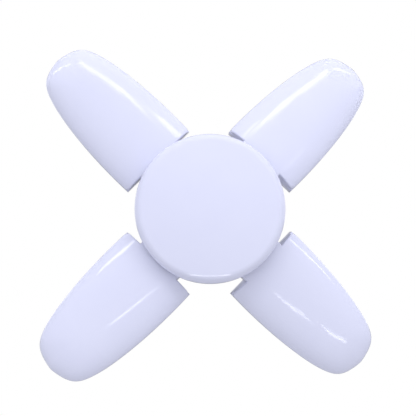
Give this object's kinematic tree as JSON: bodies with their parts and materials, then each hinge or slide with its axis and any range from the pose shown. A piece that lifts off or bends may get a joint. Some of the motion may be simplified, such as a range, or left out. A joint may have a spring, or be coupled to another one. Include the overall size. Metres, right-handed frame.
{
  "type": "foldable screw-in ceiling light",
  "caption": "Screw-in ceiling light with a round centre lamp and leaf-shaped side lamps on friction hinges that fold back along the neck.",
  "frame": {"origin": "centre of the lamp cap's rim, where the cap meets the neck's shoulder", "axes": "+Z along the lamp's axis, out through the cap's centre contact; +X along leaf 1 and +Y along leaf 2; the light shines towards -Z"},
  "size_m": [0.2424, 0.2417, 0.1513],
  "materials": {
    "milky_cover": "glossy, milky",
    "white_plastic": "satin, moulded",
    "cap_metal": "nickel-plated, rolled",
    "contact_metal": "tinned",
    "insulator": "moulded",
    "screw_steel": "zinc-plated",
    "pan_aluminium": "stamped",
    "board_white": "white solder mask on aluminium",
    "led_phosphor": "silicone over phosphor",
    "board_green": "solder mask",
    "capacitor_black": "shrink sleeve",
    "capacitor_red": "dipped",
    "winding_copper": "enamelled wire",
    "chip_black": "moulded",
    "resistor_teal": "lacquered",
    "varistor_blue": "dipped",
    "lead_brown": "PVC insulation",
    "lead_blue": "PVC insulation",
    "lead_white": "PVC insulation"
  },
  "bodies": {
    "root": {"screw_shell": "cap_metal", "cap_insulator": "insulator", "centre_contact": "contact_metal", "neck": "white_plastic", "neck_screws": "screw_steel", "hub": "white_plastic", "hinge_pins": "screw_steel", "hinge_nuts": "screw_steel", "friction_washers": "screw_steel", "centre_pan": "pan_aluminium", "pan_screws": "screw_steel", "centre_led_board": "board_white", "centre_leds": "led_phosphor", "centre_board_screws": "screw_steel", "centre_cover": "milky_cover", "driver_board": "board_green", "bulk_capacitor": "capacitor_black", "film_capacitor": "capacitor_red", "inductor": "winding_copper", "bridge_rectifier": "chip_black", "driver_chip": "chip_black", "fusible_resistor": "resistor_teal", "varistor": "varistor_blue", "live_lead": "lead_brown", "neutral_lead": "lead_blue", "centre_leads": "lead_white", "leaf_1_leads": "lead_white", "leaf_2_leads": "lead_white", "leaf_3_leads": "lead_white", "leaf_4_leads": "lead_white"},
    "leaf_1": {"leaf_1_cover": "milky_cover", "leaf_1_housing": "white_plastic", "leaf_1_led_board": "board_white", "leaf_1_leds": "led_phosphor", "leaf_1_screws": "screw_steel"},
    "leaf_2": {"leaf_2_cover": "milky_cover", "leaf_2_housing": "white_plastic", "leaf_2_led_board": "board_white", "leaf_2_leds": "led_phosphor", "leaf_2_screws": "screw_steel"},
    "leaf_3": {"leaf_3_cover": "milky_cover", "leaf_3_housing": "white_plastic", "leaf_3_led_board": "board_white", "leaf_3_leds": "led_phosphor", "leaf_3_screws": "screw_steel"},
    "leaf_4": {"leaf_4_cover": "milky_cover", "leaf_4_housing": "white_plastic", "leaf_4_led_board": "board_white", "leaf_4_leds": "led_phosphor", "leaf_4_screws": "screw_steel"}
  },
  "joints": [
    {"name": "leaf_1_fold", "type": "hinge", "parent": "root", "child": "leaf_1", "pos_m": [0.0291, 0, -0.101], "axis": [0, -1, 0], "range_deg": [-13, 85], "deforming": ["leaf_1_leads"]},
    {"name": "leaf_2_fold", "type": "hinge", "parent": "root", "child": "leaf_2", "pos_m": [0, 0.0291, -0.101], "axis": [1, 0, 0], "range_deg": [-17, 81], "deforming": ["leaf_2_leads"]},
    {"name": "leaf_3_fold", "type": "hinge", "parent": "root", "child": "leaf_3", "pos_m": [-0.0291, 0, -0.101], "axis": [0, 1, 0], "range_deg": [-3, 95], "deforming": ["leaf_3_leads"]},
    {"name": "leaf_4_fold", "type": "hinge", "parent": "root", "child": "leaf_4", "pos_m": [0, -0.0291, -0.101], "axis": [-1, 0, 0], "range_deg": [-2, 96], "deforming": ["leaf_4_leads"]}
  ]
}
